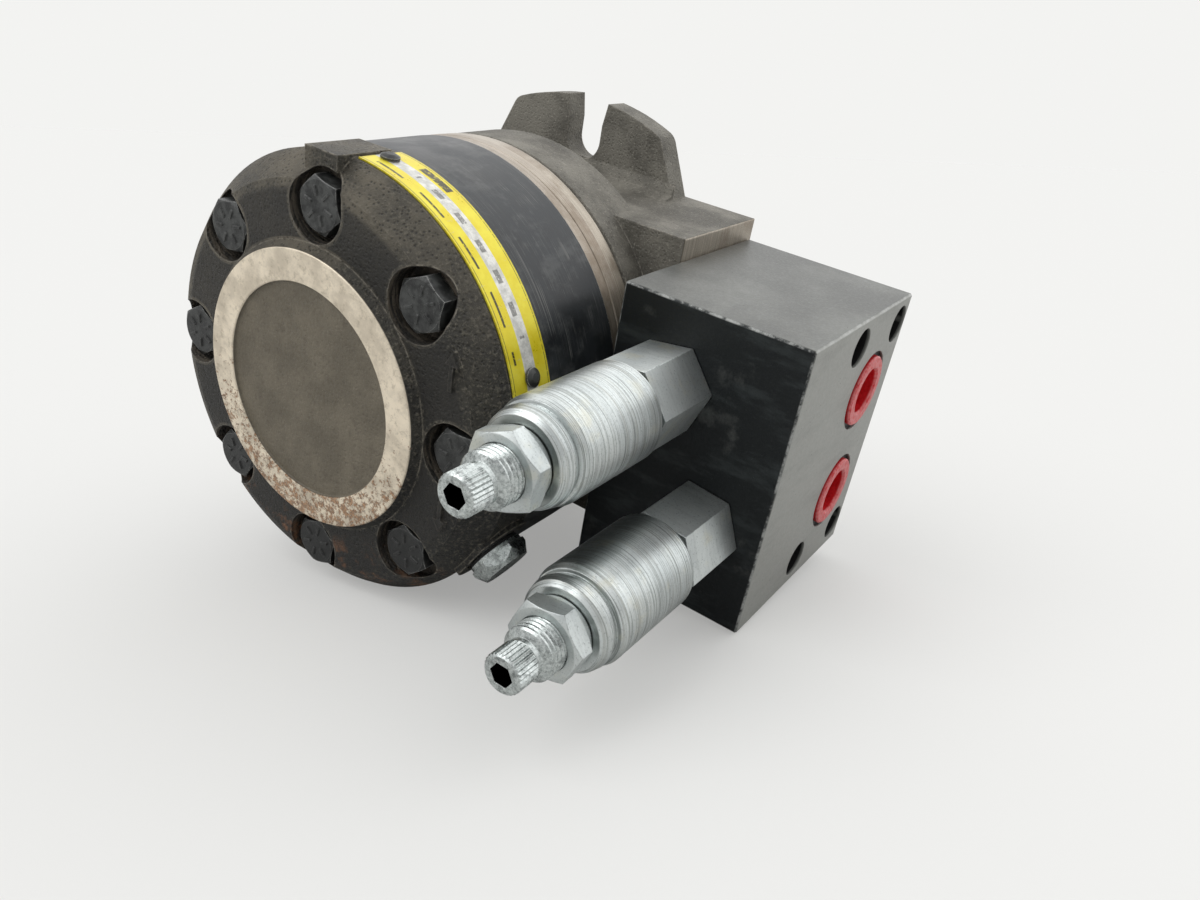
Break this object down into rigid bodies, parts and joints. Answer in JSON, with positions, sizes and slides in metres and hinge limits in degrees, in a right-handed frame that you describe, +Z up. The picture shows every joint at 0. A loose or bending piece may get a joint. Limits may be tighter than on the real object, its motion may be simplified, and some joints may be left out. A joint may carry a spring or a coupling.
{
  "type": "hydraulic motor",
  "caption": "Low-speed gerotor hydraulic motor with an eared mounting flange, keyed shaft and a side block carrying crossover relief cartridges.",
  "frame": {"origin": "where the shaft axis meets the mounting face, the plane of the ears' front side", "axes": "+Z up as the motor lies on a level floor. The shaft leaves towards +Y and rises 5.35 degrees from it, because the motor lies nose down on its cover rim, its lower ear and the foot of the block. The port block points to +X and is rolled 12.05 degrees below it."},
  "size_m": [0.1985, 0.2238, 0.1548],
  "materials": {
    "cast_iron": "rough sand-cast, dark oiled",
    "housing_iron": "sand-cast, grey-brown",
    "bolt_black": "black oxide",
    "ring_black": "black oxide, semi-gloss",
    "bare_steel": "turned, bare",
    "ground_steel": "ground and hardened",
    "block_steel": "black oxide, satin",
    "zinc": "bright zinc plate",
    "plate_alloy": "yellow printed",
    "seal_rubber": "nitrile",
    "red_plastic": "moulded",
    "spring_steel": "spring wire"
  },
  "bodies": {
    "motor": {"end_cover": "cast_iron", "cover_bolts": "bolt_black", "name_plate": "plate_alloy", "plate_rivets": "bolt_black", "drain_plug": "zinc", "drain_seal": "seal_rubber", "commutator_ring": "ground_steel", "manifold_plate": "ground_steel", "stator_ring": "ring_black", "stator_rollers": "ground_steel", "wear_plate": "bare_steel", "body_seal": "seal_rubber", "housing": "housing_iron", "rear_race": "ground_steel", "front_race": "ground_steel", "thrust_washers": "ground_steel", "shaft_seal": "seal_rubber", "dust_seal": "seal_rubber", "snap_ring": "spring_steel", "manifold_block": "block_steel", "manifold_screws": "bolt_black", "port_seals": "seal_rubber", "relief_body_upper": "zinc", "relief_cap_upper": "zinc", "relief_seat_upper": "ground_steel", "relief_nose_seal_upper": "seal_rubber", "relief_body_lower": "zinc", "relief_cap_lower": "zinc", "relief_seat_lower": "ground_steel", "relief_nose_seal_lower": "seal_rubber"},
    "shaft": {"output_shaft": "ground_steel", "shaft_key": "ground_steel"},
    "commutator_body": {"commutator": "ground_steel"},
    "rotor_body": {"rotor": "ground_steel"},
    "link": {"drive_link": "ground_steel"},
    "rear_bearing": {"rear_needles": "ground_steel"},
    "front_bearing": {"front_needles": "ground_steel"},
    "thrust_bearing": {"thrust_rollers": "ground_steel"},
    "upper_port_plug": {"port_plug_upper": "red_plastic"},
    "lower_port_plug": {"port_plug_lower": "red_plastic"},
    "upper_spring_seat": {"relief_spring_seat_upper": "ground_steel", "relief_spring_upper": "spring_steel"},
    "upper_adjust_screw": {"relief_screw_upper": "zinc"},
    "upper_lock_nut": {"relief_nut_upper": "zinc"},
    "upper_poppet": {"relief_poppet_upper": "ground_steel"},
    "lower_spring_seat": {"relief_spring_seat_lower": "ground_steel", "relief_spring_lower": "spring_steel"},
    "lower_adjust_screw": {"relief_screw_lower": "zinc"},
    "lower_lock_nut": {"relief_nut_lower": "zinc"},
    "lower_poppet": {"relief_poppet_lower": "ground_steel"}
  },
  "joints": [
    {"name": "shaft_spin", "type": "hinge", "parent": "motor", "child": "shaft", "pos_m": [0, 0, 0], "axis": [0, 0.9956, 0.0932], "continuous": true},
    {"name": "commutator_orbit", "type": "hinge", "parent": "motor", "child": "commutator_body", "pos_m": [0, -0.10952, -0.01026], "axis": [0, 0.9956, 0.0932], "continuous": true},
    {"name": "rotor_spin", "type": "hinge", "parent": "commutator_body", "child": "rotor_body", "pos_m": [0.00313, -0.08158, -0.00831], "axis": [0, 0.9956, 0.0932], "continuous": true},
    {"name": "link_spin", "type": "hinge", "parent": "commutator_body", "child": "link", "pos_m": [0, -0.04381, -0.0041], "axis": [-0.0819, 0.9905, 0.1103], "continuous": true},
    {"name": "rear_needles_roll", "type": "hinge", "parent": "motor", "child": "rear_bearing", "pos_m": [0, -0.04381, -0.0041], "axis": [0, 0.9956, 0.0932], "continuous": true},
    {"name": "front_needles_roll", "type": "hinge", "parent": "motor", "child": "front_bearing", "pos_m": [0, -0.01195, -0.00112], "axis": [0, 0.9956, 0.0932], "continuous": true},
    {"name": "thrust_rollers_roll", "type": "hinge", "parent": "motor", "child": "thrust_bearing", "pos_m": [0, -0.02499, -0.00234], "axis": [0, 0.9956, 0.0932], "continuous": true},
    {"name": "upper_relief_travel", "type": "slide", "parent": "motor", "child": "upper_spring_seat", "axis": [0, 0.9956, 0.0932], "range_m": [-0.0028, 0.0014]},
    {"name": "upper_relief_adjust", "type": "hinge", "parent": "upper_spring_seat", "child": "upper_adjust_screw", "pos_m": [0.08933, -0.13964, -0.01036], "axis": [0, 0.9956, 0.0932], "range_deg": [-720, 360]},
    {"name": "upper_lock_nut_turn", "type": "hinge", "parent": "motor", "child": "upper_lock_nut", "pos_m": [0.08933, -0.14761, -0.0111], "axis": [0, 0.9956, 0.0932], "range_deg": [-360, 0]},
    {"name": "upper_poppet_lift", "type": "slide", "parent": "motor", "child": "upper_poppet", "axis": [0, -0.9956, -0.0932], "range_m": [0, 0.0015], "stiffness_N_per_m": 2000},
    {"name": "upper_port_plug_pull", "type": "slide", "parent": "motor", "child": "upper_port_plug", "axis": [0.978, 0.0195, -0.2079], "range_m": [0, 0.03]},
    {"name": "lower_relief_travel", "type": "slide", "parent": "motor", "child": "lower_spring_seat", "axis": [0, 0.9956, 0.0932], "range_m": [-0.0028, 0.0014]},
    {"name": "lower_relief_adjust", "type": "hinge", "parent": "lower_spring_seat", "child": "lower_adjust_screw", "pos_m": [0.09922, -0.13583, -0.05104], "axis": [0, 0.9956, 0.0932], "range_deg": [-720, 360]},
    {"name": "lower_lock_nut_turn", "type": "hinge", "parent": "motor", "child": "lower_lock_nut", "pos_m": [0.09922, -0.1438, -0.05179], "axis": [0, 0.9956, 0.0932], "range_deg": [-360, 0]},
    {"name": "lower_poppet_lift", "type": "slide", "parent": "motor", "child": "lower_poppet", "axis": [0, -0.9956, -0.0932], "range_m": [0, 0.0015], "stiffness_N_per_m": 2000},
    {"name": "lower_port_plug_pull", "type": "slide", "parent": "motor", "child": "lower_port_plug", "axis": [0.978, 0.0195, -0.2079], "range_m": [0, 0.03]}
  ],
  "couplings": [
    {"joint": "commutator_orbit", "follows": "shaft_spin", "ratio": -6},
    {"joint": "rotor_spin", "follows": "shaft_spin", "ratio": 7},
    {"joint": "link_spin", "follows": "shaft_spin", "ratio": 7},
    {"joint": "rear_needles_roll", "follows": "shaft_spin", "ratio": 0.4728},
    {"joint": "front_needles_roll", "follows": "shaft_spin", "ratio": 0.4637},
    {"joint": "thrust_rollers_roll", "follows": "shaft_spin", "ratio": 0.5},
    {"joint": "upper_relief_adjust", "follows": "upper_relief_travel", "rad_per_m": 4456.2},
    {"joint": "lower_relief_adjust", "follows": "lower_relief_travel", "rad_per_m": 4456.2}
  ]
}
